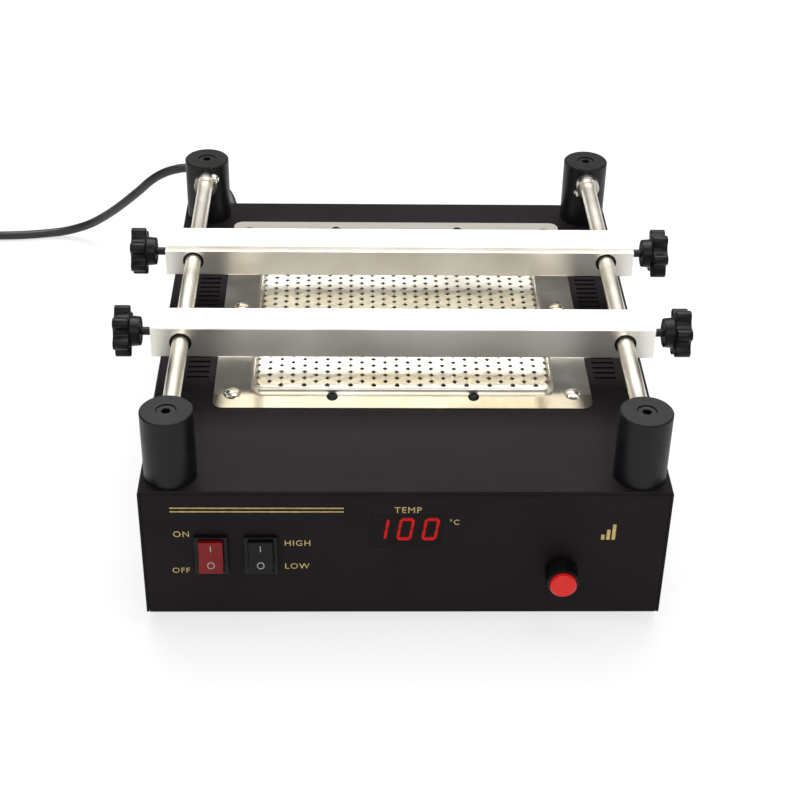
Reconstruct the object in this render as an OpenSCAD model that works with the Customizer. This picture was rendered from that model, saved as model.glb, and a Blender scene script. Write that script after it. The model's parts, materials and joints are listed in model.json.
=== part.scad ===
// Bench preheater for circuit boards: a sheet-metal box with a radiant heater under a mesh guard,
// and a board holder of two sliding bars on rods that stand on four corner posts.
// Units are millimetres. +Z is up, the front panel faces -Y, and the feet stand on z = 0.

/* [Body] */
// Width of the sheet-metal box
body_w = 240; // [225:1:280]
// Depth of the sheet-metal box, front to back
body_d = 272; // [262:1:310]
// Height of the box without its feet
body_h = 72; // [70:1:90]
// Thickness of the steel sheet
sheet = 1.2; // [1:0.1:1.6]
// Outer radius of the sheet's bends
bend_r = 2; // [1.8:0.1:3]
// Height of the rubber feet
foot_h = 5; // [4:0.5:10]
// Diameter of the rubber feet
foot_d = 14; // [12:1:18]
// Distance of each foot from the sides of the box
foot_inset = 20; // [18:1:26]

/* [Posts and rods] */
// Diameter of the corner posts
post_d = 24; // [22:1:26]
// Height of the corner posts
post_h = 35; // [30:1:60]
// Distance of the post axes from the sides of the box
post_inset_x = 14; // [13:0.5:15]
// Distance of the post axes from the front and back of the box
post_inset_y = 13; // [13:0.5:16]
// Diameter of the guide rods
rod_d = 8; // [6:0.5:9]
// Distance of the rod axes below the post tops
rod_drop = 8.5; // [8:0.25:12]
// Depth that a rod end sits in its post
rod_seat = 6.5; // [4:0.25:6.5]
// Width of the rod collars
collar_w = 6; // [5:0.5:8]
// Wall of the rod collars
collar_wall = 2.2; // [1.6:0.1:3]

/* [Clamp bars] */
// Length of a clamp bar beyond each rod's axis
bar_past = 14; // [11:1:24]
// Depth of a bar's section, front to back
bar_depth = 21; // [16:1:24]
// Height of a bar's section
bar_h = 16; // [14:1:17]
// Width of the ledge that carries the board's edge
ledge_w = 2; // [1:0.25:3]
// Depth of that ledge below the bar's top
ledge_drop = 2.2; // [1:0.1:3]
// Wall of the liners in the rod holes
liner_wall = 1.2; // [0.8:0.1:1.4]
// Place of the front bar, from the middle of the box
front_bar_y = -44.5; // [-60:0.5:-30]
// Place of the rear bar, from the middle of the box
rear_bar_y = 33; // [15:0.5:50]

/* [Clamp knobs] */
// Diameter of the star knobs
knob_d = 25; // [20:1:28]
// Thickness of the star
star_t = 7.5; // [7:0.5:12]
// Number of lobes on the star
lobes = 6; // [5:1:8]
// Diameter of the knob's hub
hub_d = 14; // [10:0.5:15]
// Length of the knob's hub
hub_l = 5; // [4:0.5:9]
// Length of bare stud between bar and hub
stud_show = 5.5; // [4:0.5:10]
// Diameter of the clamp studs
stud_d = 4; // [3.5:0.5:6]

/* [Heater top] */
// Width of the polished top plate
plate_w = 182; // [178:1:186]
// Depth of the polished top plate
plate_d = 184; // [180:1:190]
// Thickness of the top plate
plate_t = 1; // [0.8:0.1:1.5]
// Place of the heater's middle, behind the middle of the box
plate_y = 20; // [17:1:22]
// Width of the mesh guard
guard_w = 147; // [130:1:149]
// Depth of the mesh guard
guard_d = 159; // [140:1:161]
// Thickness of the guard's sheet
guard_t = 1; // [0.8:0.1:1.5]
// Height of the guard's sheet above the top plate
guard_rise = 3; // [2:0.5:5]
// Rise of the guard's crown from its front and back edges to its middle
guard_crown = 1; // [0.6:0.1:2]
// Long way of the mesh, knuckle to knuckle
mesh_long = 11.2; // [11:0.1:14]
// Short way of the mesh, knuckle to knuckle
mesh_short = 5.4; // [5.3:0.1:7]
// Length of a mesh opening
hole_long = 3.4; // [2.6:0.2:7.6]
// Width of a mesh opening
hole_short = 3.2; // [2.6:0.1:3.6]

/* [Heater inside] */
// Depth of the reflector tray below the cover
tray_h = 36; // [34:1:38]
// Width of one ceramic emitter
emitter_w = 60; // [50:1:62]
// Length of one ceramic emitter
emitter_l = 122; // [100:1:130]
// Thickness of one ceramic emitter
emitter_t = 8; // [6:0.5:9]
// Thickness of the insulation under the tray
insulation_t = 10; // [6:1:11]

/* [Front panel] */
// Distance of the power switch from the left side of the panel
power_inset = 31.7; // [28:0.1:34]
// Distance between the two switches
switch_step = 22.6; // [20.3:0.1:28]
// Height of both switches above the bottom of the box
switch_z = 36.5; // [32:0.5:40]
// Width of the display opening
display_w = 33.5; // [32:0.5:40]
// Height of the display opening
display_h = 19; // [18:0.5:22]
// Height of the display's middle above the bottom of the box
display_z = 49.5; // [46:0.5:51]
// Distance of the temperature knob from the right side of the panel
dial_inset = 48; // [40:0.1:60]
// Height of the temperature knob above the bottom of the box
dial_z = 27.5; // [20:0.5:34]
// Diameter of the temperature knob
dial_d = 15; // [14:0.5:20]
// Length of the temperature knob
dial_l = 10; // [9.5:0.5:15]

/* [Mains lead] */
// Diameter of the mains lead
cord_d = 5.4; // [5:0.1:6]
// Distance of the lead's strain relief from the left side of the box
gland_inset = 24.5; // [20:0.5:40]
// Height of the strain relief above the bottom of the box
gland_z = 54; // [48:0.5:60]
// Length of the strain relief behind the back wall
gland_l = 18; // [16:1:30]

/* [Hidden] */
$fn = 64;

// Clearances
run_gap = 0.05;      // a shaft in its hole, on the radius
loose_gap = 0.2;     // a fixed piece in its cut-out
touch_gap = 0.1;     // a flat end against a round face
past = 1;            // how far a cut runs past the face it opens

// Levels and walls of the box
z_floor = foot_h;
z_top = foot_h + body_h;
z_under = z_top - sheet;
z_plate = z_top + plate_t;

// Temperature knob, which reaches furthest forward
dial_gap = 0.8;
cap_d = 12.2;
cap_proud = 2.7;
cap_seat = 1.5;
dial_reach = dial_gap + dial_l + cap_proud;

// The origin is under the middle of the object, so the box sits half that reach behind it
y_mid = dial_reach / 2;
y_front = y_mid - body_d / 2;
y_rear = y_mid + body_d / 2;
power_x = power_inset - body_w / 2;
level_x = power_x + switch_step;
dial_x = body_w / 2 - dial_inset;
gland_x = gland_inset - body_w / 2;

// Posts, rods and collars
post_x = body_w / 2 - post_inset_x;
post_y_front = y_front + post_inset_y;
post_y_rear = y_rear - post_inset_y;
rod_z = z_top + post_h - rod_drop;
rod_y0 = post_y_front + post_d / 2 - rod_seat;
rod_y1 = post_y_rear - post_d / 2 + rod_seat;
post_edge = 0.6;
bolt_d = 5;
bolt_hole_d = 5.4;
bolt_head_d = 8.5;
bolt_head_h = 5;
bolt_sink_d = 9.2;
bolt_sink_h = 5.5;
bolt_socket = 4;
nut_flats = 8;
nut_h = 4;
bolt_tail = 2;
collar_od = rod_d + 2 * run_gap + 2 * collar_wall;
collar_y = post_y_rear - post_d / 2 - touch_gap - collar_w;
collar_screw_d = 3;
collar_head_d = 5.4;
collar_head_h = 2.2;
collar_rim = 0.7;
collar_web = 0.2;
collar_sink = collar_w / 2 - collar_screw_d / 2 - collar_web;
collar_angle_left = 35;
collar_angle_right = 222;

// Bars, liners, studs and knobs
liner_or = rod_d / 2 + run_gap + liner_wall;
bar_edge = 0.5;
bar_l = 2 * (post_x + bar_past);
front_y = y_mid + front_bar_y;
rear_y = y_mid + rear_bar_y;
stud_tip_x = post_x + rod_d / 2 + touch_gap;
stud_taper = 0.75;
stud_tip_d = stud_d - 2 * stud_taper;
stud_tip_h = 1;
hub_x = bar_l / 2 + stud_show;
stud_grip = hub_l + star_t / 2;
hub_flare = 1.5;
star_valley = 0.7;
knob_recess_d = 10;
knob_recess_h = 1;
knob_turn_fl = 8;
knob_turn_fr = 35;
knob_turn_rl = 22;
knob_turn_rr = 50;

// Heater: the plate, guard, cover opening and tray are centred on one point
heat_y = y_mid + plate_y;
plate_r = 5;
guard_r = 6;
guard_border = 1.6;
guard_facets = 24;
guard_top = guard_rise + guard_t + guard_crown;
lip_overlap = 4;
open_w = guard_w - 2 * lip_overlap;
open_d = guard_d - 2 * lip_overlap;
tray_w = open_w + 2 * sheet;
tray_d = open_d + 2 * sheet;
tray_z = z_under - tray_h;
flange_side = 2;
flange_end = 1;
flange_w = plate_w - 2 * flange_side;
flange_d = plate_d - 2 * flange_end;
screw_d = 3;
screw_hole_d = 3.4;
screw_head_d = 5.5;
screw_head_h = 1.8;
screw_past = 4;
rivet_past = 1;
plate_screw_x = 34;
plate_screw_inset = (plate_d - guard_d) / 2 - screw_head_d / 2 - loose_gap;
rivet_d = 4;
rivet_hole_d = 4.2;
rivet_head_d = 8.5;
rivet_head_h = 2;
rivet_x = (guard_w + plate_w) / 4;
rivet_step = 80;

// Emitters on their bracket
emitter_gap = 4;
emitter_pitch = emitter_w + emitter_gap;
emitter_r = 5;
stem_w = 15;
stem_l = 20;
shoulder = 2;
shoulder_h = 6;
bracket_t = 1.5;
bracket_d = 40;
bracket_w = emitter_pitch + 2 * stem_w;
bracket_bend = 2.5;
bracket_lift = 9;
bracket_z = tray_z + sheet + bracket_lift;
stem_below = 5;
clip_t = 1;
clip_margin = 5;
emitter_z = bracket_z + shoulder_h;

// Thermocouple in the tray's back wall
probe_d = 3;
probe_l = 60;
probe_drop = 8;
probe_nut = 8;
probe_nut_h = 5;
probe_tail = 12;

// Vent slots
vent_l = 11;
vent_w = 1.6;
vent_step = 4.5;
vent_inset = 20;
vent_x = body_w / 2 - vent_inset;
vent_y0 = -45;
vent_count = 30;
floor_vent_l = 30;
floor_vent_w = 3;
floor_vent_step = 9;
floor_vent_count = 9;

// Chassis edges
side_gap = 0.2;
chassis_w = body_w - 2 * sheet - 2 * side_gap;
lip_h = 15;
top_flange = 6;
cover_screw_y = 100;
cover_lift = 1.2;
cover_screw_lift = 9;
cover_screw_z = z_floor + cover_screw_lift;

// Rocker switches
rocker_w = 11;
rocker_half = 8;
rocker_tilt = 10;
rocker_gap = 0.25;
rocker_sink = 0.3;
rocker_rise = 2.4;
rocker_stem_w = 8.6;
rocker_stem_half = 5;
rocker_stem_back = 4;
switch_bezel_w = 15;
switch_bezel_h = 21;
switch_bezel_t = 2;
switch_face = 0.5;
switch_wall = 1;
switch_open_w = rocker_w + 2 * rocker_gap;
switch_open_h = 18.8;
switch_body_w = 13;
switch_body_h = 19.6;
switch_body_l = 18;
switch_cut_w = switch_body_w + loose_gap;
switch_cut_h = switch_body_h + 2 * loose_gap;
switch_pivot = 2;
switch_pocket = 8;
pivot_pin_d = 2.4;
pivot_gap = 0.1;
tab_w = 4.8;
tab_t = 0.8;
tab_l = 8;
tab_step = 6;

// Display
window_lip = 2;
window_lip_t = 1;
module_t = 8;
display_board_w = 60;
display_board_h = 28;
display_post_inset = 4;
board_t = 1.6;
display_post_d = 5;

// Temperature control behind the panel
pot_d = 17;
pot_l = 9;
pot_neck_d = 7;
pot_neck_out = 0.6;
shaft_d = 6;
shaft_seat = 7;
dial_flutes = 18;
dial_flute_d = 1.4;

// Control board on the floor
control_w = 110;
control_d = 42;
control_inset = 5;
control_x = 20;
control_setback = 53;
control_y = y_front + control_setback;
standoff_d = 6;
standoff_h = 8;
control_z = z_floor + sheet + standoff_h;
core_w = 35;
core_d = 28;
core_h = 26;
coil_d_w = 20;
coil_d_over = 5;
fin_count = 6;
fin_t = 1.2;
fin_step = 4;
fin_h = 18;
fin_l = 30;
fin_base = 3;
terminal_w = 30;
terminal_d = 16;
terminal_h = 14;

// Mains lead: strain relief, route, coil and plug
gland_hole_d = 10;
gland_flange_d = 14;
gland_flange_t = 2;
gland_lip_d = 11.6;
gland_lip_t = 3;
gland_root_d = 11;
gland_wall = 1.2;
gland_tip_d = cord_d + 2 * gland_wall;
gland_grooves = 4;
gland_groove = 0.8;
gland_edge = 0.6;
gland_plain = 3;
cord_sides = 8;
cord_y0 = y_rear + gland_l;
cord_z0 = z_floor + gland_z;
cord_route = [
    [gland_x, cord_y0 + cord_d, cord_z0], [-97, 176.1, 60.6], [-101.2, 184.7, 63.4], [-107.7, 191.9, 66.6],
    [-115.5, 197.3, 69.2], [-124.4, 200.8, 70], [-133.5, 202.6, 67.9], [-142, 205, 63.4], [-149, 207.5, 57.5],
    [-156, 211.5, 49.5],
    [-163, 215.5, 41.8], [-170, 220.5, 34], [-177, 226, 26.4], [-184.5, 231.5, 19], [-193, 236.5, 12],
    [-202.5, 239.5, 7], [-212, 240.5, 4], [-222, 240, 2.8], [-236, 238, 2.7], [-250, 237, 2.7],
    [-264, 236.5, 2.7], [-278, 236.5, 2.7]
];
tail_route = [
    [-321, 204, 26.9], [-321, 196, 26.4], [-321, 187, 24.2], [-321, 178, 20.6], [-321, 169, 16.2],
    [-321, 160, 12.4], [-321, 151, 9.8], [-321, 144, 9], [-321, 138, 9]
];
coil_r = 31;
coil_band_w = 7.6;
coil_band_h = 30.4;
coil_edge = 2;
coil_at = [-290, 205.5, 0];
plug_at = [-321, 122, 0];
plug_w = 24;
plug_h = 18;
plug_l = 30;
plug_r = 5;
plug_neck_l = 16;
plug_neck_d = 10;
blade_w = 6.3;
blade_t = 1.5;
blade_l = 17;
blade_step = 12.7;
blade_root = 3;
earth_d = 4.8;
earth_l = 19;
blade_low = 5;
earth_high = 13;

// Colours
steel_black = "#1c1b20";
post_black = "#1a1a1f";
plastic_black = "#18181a";
rubber_black = "#141414";
chrome = "#d8d6d0";
aluminium = "#c6c6c8";
stainless = "#cfcac0";
board_green = "#1f6b3a";
ceramic_dark = "#3a3733";
signal_red = "#c81e1e";

// A rounded corner: points on a quarter turn of radius q, for a bend of radius r at p1
function corner(p0, p1, p2, r, q, n = 6) =
    let (d0 = (p1 - p0) / norm(p1 - p0), d1 = (p2 - p1) / norm(p2 - p1), c = p1 - r * d0 + r * d1)
    [for (i = [0 : n]) c - q * cos(90 * i / n) * d1 + q * sin(90 * i / n) * d0];

function left_of(p0, p1) = let (d = (p1 - p0) / norm(p1 - p0)) [-d[1], d[0]];

function backwards(list) = [for (i = [len(list) - 1 : -1 : 0]) list[i]];

function flat(lists) = [for (part = lists) for (p = part) p];

// Section of a bent sheet whose outer face follows pts, all turns to the left
function bent_sheet(pts, t, r) =
    let (last = len(pts) - 1,
         outer = flat([for (i = [1 : last - 1]) corner(pts[i - 1], pts[i], pts[i + 1], r, r)]),
         inner = flat([for (i = [1 : last - 1]) corner(pts[i - 1], pts[i], pts[i + 1], r, r - t)]))
    concat([pts[0]], outer, [pts[last]], [pts[last] + t * left_of(pts[last - 1], pts[last])],
           backwards(inner), [pts[0] + t * left_of(pts[0], pts[1])]);

// Outline of a rectangle with round corners
function round_rect(w, d, r) =
    let (x = w / 2, y = d / 2, p = [[x, -y], [x, y], [-x, y], [-x, -y]])
    flat([for (i = [0 : 3]) corner(p[(i + 3) % 4], p[i], p[(i + 1) % 4], r, r, 8)]);

// Outline of a star knob: flat-topped lobes with soft valleys
function star(r_tip, r_valley, count) =
    [for (a = [0 : 4 : 356])
        let (wave = cos(count * a), lobe = sign(wave) * pow(abs(wave), 0.55),
             r = (r_tip + r_valley) / 2 + lobe * (r_tip - r_valley) / 2)
        [r * cos(a), r * sin(a)]];

// A tube swept along a route of points
function way(route, i) = route[min(i + 1, len(route) - 1)] - route[max(i - 1, 0)];

function ring(p, d, r, sides) =
    let (f = d / norm(d), s = cross(f, [0, 0, 1]) / norm(cross(f, [0, 0, 1])), u = cross(s, f))
    [for (k = [0 : sides - 1]) p + r * cos(360 * k / sides) * s + r * sin(360 * k / sides) * u];

module tube(route, d, sides) {
    count = len(route);
    points = flat([for (i = [0 : count - 1]) ring(route[i], way(route, i), d / 2, sides)]);
    skin = [for (i = [0 : count - 2]) for (k = [0 : sides - 1])
        [i * sides + k, (i + 1) * sides + k, (i + 1) * sides + (k + 1) % sides,
         i * sides + (k + 1) % sides]];
    first = [for (k = [0 : sides - 1]) k];
    end = [for (k = [sides - 1 : -1 : 0]) (count - 1) * sides + k];
    polyhedron(points, concat(skin, [first], [end]), convexity = 8);
}

// A cylinder along X, Y, or out of the front panel
module rod_x(d, x0, x1) translate([x0, 0, 0]) rotate([0, 90, 0]) cylinder(d = d, h = x1 - x0);
module rod_y(d, y0, y1) translate([0, y0, 0]) rotate([-90, 0, 0]) cylinder(d = d, h = y1 - y0);

// A box between two corners
module block(low, high) translate(low) cube(high - low);

// A flat piece with round corners, centred in x and y, standing on z = 0
module slab(w, d, t, r) linear_extrude(t) polygon(round_rect(w, d, r));

// A section in Y and Z carried along X, or in X and Z carried along Y
module along_x(x0, x1) translate([x0, 0, 0]) rotate([90, 0, 90]) linear_extrude(x1 - x0) children();
module along_y(y0, y1) translate([0, y1, 0]) rotate([90, 0, 0]) linear_extrude(y1 - y0) children();

// Copies at the four corners given by half spans, and on both sides
module corners(x, y) for (sx = [-1, 1]) for (sy = [-1, 1]) translate([sx * x, sy * y, 0]) children();
module both_sides() for (side = [0, 1]) mirror([side, 0, 0]) children();

// A domed screw or rivet head on z = 0, with its shank below
module domed_fastener(head_d, head_h, shank_d, shank_l) {
    rotate_extrude() polygon(concat(
        [[0, -shank_l], [shank_d / 2, -shank_l], [shank_d / 2, 0], [head_d / 2, 0]],
        [for (a = [15 : 15 : 90]) [head_d / 2 * cos(a), head_h * sin(a)]]));
}

module pan_screw(head_d, head_h, shank_d, shank_l) {
    recess = head_h * 0.5;
    difference() {
        domed_fastener(head_d, head_h, shank_d, shank_l);
        for (turn = [0, 90])
            rotate(turn) translate([-head_d * 0.28, -head_d * 0.06, head_h - recess])
                cube([head_d * 0.56, head_d * 0.12, head_h]);
    }
}

module chassis() {
    section = [
        [y_front + top_flange, z_under], [y_front, z_under], [y_front, z_floor],
        [y_rear, z_floor], [y_rear, z_under], [y_rear - top_flange, z_under]
    ];
    color(steel_black) difference() {
        union() {
            along_x(-chassis_w / 2, chassis_w / 2) polygon(bent_sheet(section, sheet, bend_r));
            both_sides() block([chassis_w / 2 - sheet, y_front + bend_r, z_floor],
                               [chassis_w / 2, y_rear - bend_r, z_floor + lip_h]);
        }
        for (x = [power_x, level_x])
            translate([x - switch_cut_w / 2, y_front - past, z_floor + switch_z - switch_cut_h / 2])
                cube([switch_cut_w, sheet + 2 * past, switch_cut_h]);
        translate([-display_w / 2, y_front - past, z_floor + display_z - display_h / 2])
            cube([display_w, sheet + 2 * past, display_h]);
        translate([dial_x, 0, z_floor + dial_z])
            rod_y(pot_neck_d + 2 * loose_gap, y_front - past, y_front + sheet + past);
        translate([gland_x, 0, z_floor + gland_z])
            rod_y(gland_hole_d, y_rear - sheet - past, y_rear + past);
        translate([0, y_mid, z_floor - past])
            corners(body_w / 2 - foot_inset, body_d / 2 - foot_inset)
                cylinder(d = screw_hole_d, h = sheet + 2 * past);
        for (i = [0 : floor_vent_count - 1])
            both_sides()
                translate([floor_vent_l, y_mid + (i - floor_vent_count / 2) * floor_vent_step,
                           z_floor - past])
                    cube([floor_vent_l, floor_vent_w, sheet + 2 * past]);
        both_sides() for (y = [-cover_screw_y, cover_screw_y])
            translate([0, y_mid + y, cover_screw_z])
                rod_x(screw_hole_d, chassis_w / 2 - sheet - past, body_w / 2);
    }
}

module cover() {
    section = [
        [body_w / 2, z_floor + cover_lift], [body_w / 2, z_top],
        [-body_w / 2, z_top], [-body_w / 2, z_floor + cover_lift]
    ];
    color(steel_black) difference() {
        along_y(y_front, y_rear) polygon(bent_sheet(section, sheet, bend_r));
        translate([0, heat_y, z_under - past])
            slab(tray_w + 2 * loose_gap, tray_d + 2 * loose_gap, sheet + 2 * past, guard_r);
        translate([0, y_mid, z_under - past])
            corners(post_x, body_d / 2 - post_inset_y) cylinder(d = bolt_hole_d, h = sheet + 2 * past);
        plate_screw_places(z_under - past) cylinder(d = screw_hole_d, h = sheet + 2 * past);
        plate_rivet_places(z_under - past) cylinder(d = rivet_hole_d, h = sheet + 2 * past);
        for (i = [0 : vent_count - 1])
            both_sides()
                translate([vent_x - vent_l / 2, y_mid + vent_y0 + i * vent_step, z_under - past])
                    cube([vent_l, vent_w, sheet + 2 * past]);
        both_sides() for (y = [-cover_screw_y, cover_screw_y])
            translate([0, y_mid + y, cover_screw_z])
                rod_x(screw_hole_d, body_w / 2 - sheet - past, body_w / 2 + past);
    }
}

module foot_places() {
    translate([0, y_mid, 0]) corners(body_w / 2 - foot_inset, body_d / 2 - foot_inset) children();
}

module rubber_feet() {
    sink = foot_h / 2;
    draft = 1;
    color(rubber_black) foot_places() difference() {
        cylinder(d1 = foot_d - 2 * draft, d2 = foot_d, h = foot_h);
        translate([0, 0, -past]) cylinder(d = screw_hole_d, h = foot_h + 2 * past);
        translate([0, 0, -past]) cylinder(d = screw_head_d + 2 * loose_gap, h = sink + past);
    }
}

module foot_screws() {
    color(chrome) foot_places()
        translate([0, 0, foot_h / 2]) mirror([0, 0, 1])
            pan_screw(screw_head_d, screw_head_h, screw_d, foot_h / 2 + sheet + screw_past);
}

module cover_screws() {
    color(plastic_black) both_sides() for (y = [-cover_screw_y, cover_screw_y])
        translate([body_w / 2, y_mid + y, cover_screw_z]) rotate([0, 90, 0])
            pan_screw(screw_head_d, screw_head_h, screw_d, 2 * sheet + screw_past);
}

// A post that stands on the cover, with its rod bore towards +Y or -Y
module post(x, y, face) {
    color(post_black) translate([x, y, z_top]) difference() {
        rotate_extrude() polygon([
            [0, 0], [post_d / 2, 0], [post_d / 2, post_h - post_edge],
            [post_d / 2 - post_edge, post_h], [0, post_h]
        ]);
        translate([0, 0, -past]) cylinder(d = bolt_hole_d, h = post_h + 2 * past);
        translate([0, 0, post_h - bolt_sink_h]) cylinder(d = bolt_sink_d, h = bolt_sink_h + past);
        translate([0, 0, rod_z - z_top]) rotate([0, 0, face > 0 ? 0 : 180])
            rod_y(rod_d + 2 * run_gap, post_d / 2 - rod_seat - touch_gap, post_d / 2 + past);
    }
}

module post_front_left() post(-post_x, post_y_front, 1);
module post_front_right() post(post_x, post_y_front, 1);
module post_rear_left() post(-post_x, post_y_rear, -1);
module post_rear_right() post(post_x, post_y_rear, -1);

module post_places() {
    translate([0, y_mid, 0]) corners(post_x, body_d / 2 - post_inset_y) children();
}

module post_screws() {
    head_z = z_top + post_h - bolt_sink_h;
    tip_z = z_under - nut_h - bolt_tail;
    color(plastic_black) post_places() difference() {
        union() {
            translate([0, 0, tip_z]) cylinder(d = bolt_d, h = head_z - tip_z + bolt_head_h / 2);
            translate([0, 0, head_z]) cylinder(d = bolt_head_d, h = bolt_head_h);
        }
        translate([0, 0, head_z + bolt_head_h / 2])
            cylinder(d = bolt_socket / cos(30), h = bolt_head_h, $fn = 6);
    }
}

module post_nuts() {
    color(chrome) post_places() translate([0, 0, z_under - nut_h]) difference() {
        cylinder(d = nut_flats / cos(30), h = nut_h, $fn = 6);
        translate([0, 0, -past]) cylinder(d = bolt_d + 2 * run_gap, h = nut_h + 2 * past);
    }
}

module guide_rod(x) {
    end = 0.5;
    length = rod_y1 - rod_y0;
    color(chrome) translate([x, rod_y0, rod_z]) rotate([-90, 0, 0]) rotate_extrude()
        polygon([
            [0, 0], [rod_d / 2 - end, 0], [rod_d / 2, end], [rod_d / 2, length - end],
            [rod_d / 2 - end, length], [0, length]
        ]);
}

module guide_rod_left() guide_rod(-post_x);
module guide_rod_right() guide_rod(post_x);

// Places a child that points along +X at a collar's screw
module at_collar_screw(x, angle) {
    translate([x, collar_y + collar_w / 2, rod_z]) rotate([0, -angle, 0]) children();
}

module rod_collar(x, angle) {
    difference() {
        translate([x, 0, rod_z]) rod_y(collar_od, collar_y, collar_y + collar_w);
        translate([x, 0, rod_z]) rod_y(rod_d + 2 * run_gap, collar_y - past, collar_y + collar_w + past);
        translate([x, collar_y - past, rod_z]) rotate([-90, 0, 0])
            cylinder(d1 = collar_od - 2 * collar_rim, d2 = rod_d, h = collar_sink);
        at_collar_screw(x, angle) rod_x(collar_screw_d + 2 * run_gap, 0, collar_od);
    }
}

module rod_collars() {
    color(chrome) {
        rod_collar(-post_x, collar_angle_left);
        rod_collar(post_x, collar_angle_right);
    }
}

module collar_screw(x, angle) {
    seat = collar_od / 2;
    at_collar_screw(x, angle) translate([seat, 0, 0]) rotate([0, 90, 0])
        domed_fastener(collar_head_d, collar_head_h, collar_screw_d, seat - rod_d / 2 - touch_gap);
}

module collar_screws() {
    color(chrome) {
        collar_screw(-post_x, collar_angle_left);
        collar_screw(post_x, collar_angle_right);
    }
}

module plate_screw_places(z) {
    translate([0, heat_y, z]) corners(plate_screw_x, plate_d / 2 - plate_screw_inset) children();
}

module plate_rivet_places(z) {
    for (sx = [-1, 1]) for (i = [-1 : 1])
        translate([sx * rivet_x, heat_y + i * rivet_step, z]) children();
}

module top_plate() {
    color(stainless) difference() {
        translate([0, heat_y, z_top]) slab(plate_w, plate_d, plate_t, plate_r);
        translate([0, heat_y, z_top - past]) slab(open_w, open_d, plate_t + 2 * past, guard_r);
        plate_screw_places(z_top - past) cylinder(d = screw_hole_d, h = plate_t + 2 * past);
        plate_rivet_places(z_top - past) cylinder(d = rivet_hole_d, h = plate_t + 2 * past);
    }
}

module plate_screws() {
    color(stainless) plate_screw_places(z_plate)
        pan_screw(screw_head_d, screw_head_h, screw_d, plate_t + 2 * sheet + screw_past);
}

module plate_rivets() {
    color(stainless) plate_rivet_places(z_plate)
        domed_fastener(rivet_head_d, rivet_head_h, rivet_d, plate_t + 2 * sheet + rivet_past);
}

// Height of the crowned sheet above its front and back edges
function crown(y) = guard_crown * (1 - pow(2 * y / guard_d, 2));

// Everything from z = 0 up to the crowned sheet, lifted by rise
module under_crown(rise) {
    places = [for (i = [0 : guard_facets]) (i / guard_facets - 0.5) * guard_d];
    along_x(-guard_w / 2 - past, guard_w / 2 + past) polygon(concat(
        [for (y = backwards(places)) [y, rise + crown(y)]], [[-guard_d / 2, -past], [guard_d / 2, -past]]));
}

// One diamond of the mesh, through the whole height of the guard
module mesh_hole() {
    diamond = [[hole_long / 2, 0], [0, hole_short / 2], [-hole_long / 2, 0], [0, -hole_short / 2]];
    linear_extrude(guard_top + 2 * past) polygon(diamond);
}

// Expanded metal: staggered diamonds pierced through a crowned sheet with a folded rim
module mesh_guard() {
    reach_x = guard_w / 2 - guard_border - hole_long / 2;
    reach_y = guard_d / 2 - guard_border - hole_short / 2;
    rows = floor(reach_y / (mesh_short / 2));
    columns = ceil(reach_x / mesh_long);
    color(stainless) translate([0, heat_y, z_plate]) difference() {
        intersection() {
            slab(guard_w, guard_d, guard_top + past, guard_r);
            under_crown(guard_rise + guard_t);
        }
        intersection() {
            translate([0, 0, -past])
                slab(guard_w - 2 * guard_t, guard_d - 2 * guard_t, guard_top + past, guard_r - guard_t);
            under_crown(guard_rise);
        }
        for (row = [-rows : rows]) for (column = [-columns : columns]) {
            x = (column + (row % 2 == 0 ? 0 : 0.5)) * mesh_long;
            if (abs(x) <= reach_x) translate([x, row * mesh_short / 2, 0]) mesh_hole();
        }
    }
}

module reflector_tray() {
    wire_hole = 12;
    color(stainless) difference() {
        translate([0, heat_y, 0]) union() {
            translate([0, 0, tray_z]) slab(tray_w, tray_d, tray_h, guard_r - loose_gap);
            translate([0, 0, z_under - sheet]) slab(flange_w, flange_d, sheet, plate_r);
        }
        translate([0, heat_y, tray_z + sheet]) slab(open_w, open_d, tray_h + past, guard_r - sheet);
        for (x = [-1, 1]) translate([x * emitter_pitch / 2, heat_y, tray_z - past])
            cylinder(d = wire_hole, h = sheet + 2 * past);
        translate([0, 0, z_under - probe_drop])
            rod_y(probe_d + 2 * run_gap, heat_y + open_d / 2 - past, heat_y + tray_d / 2 + past);
        plate_screw_places(z_under - sheet - past) cylinder(d = screw_hole_d, h = sheet + 2 * past);
        plate_rivet_places(z_under - sheet - past) cylinder(d = rivet_hole_d, h = sheet + 2 * past);
    }
}

// A flat ceramic emitter with a dished face, on a shouldered stem
module emitter(x) {
    rim = 4;
    dish = 1.5;
    dish_r = 3;
    color(ceramic_dark) translate([x, heat_y, emitter_z]) difference() {
        union() {
            slab(emitter_w, emitter_l, emitter_t, emitter_r);
            translate([-stem_w / 2 - shoulder, -stem_l / 2 - shoulder, -shoulder_h])
                cube([stem_w + 2 * shoulder, stem_l + 2 * shoulder, shoulder_h]);
            translate([-stem_w / 2, -stem_l / 2, -shoulder_h - bracket_t - stem_below])
                cube([stem_w, stem_l, bracket_t + stem_below + shoulder_h]);
        }
        translate([0, 0, emitter_t - dish])
            slab(emitter_w - 2 * rim, emitter_l - 2 * rim, dish + past, dish_r);
    }
}

module emitter_left() emitter(-emitter_pitch / 2);
module emitter_right() emitter(emitter_pitch / 2);

// Places one slot or clip under each emitter
module stem_places(z) for (x = [-1, 1]) translate([x * emitter_pitch / 2, heat_y, z]) children();

module stem_slot(t) {
    translate([-stem_w / 2 - loose_gap, -stem_l / 2 - loose_gap, -past])
        cube([stem_w + 2 * loose_gap, stem_l + 2 * loose_gap, t + 2 * past]);
}

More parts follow.
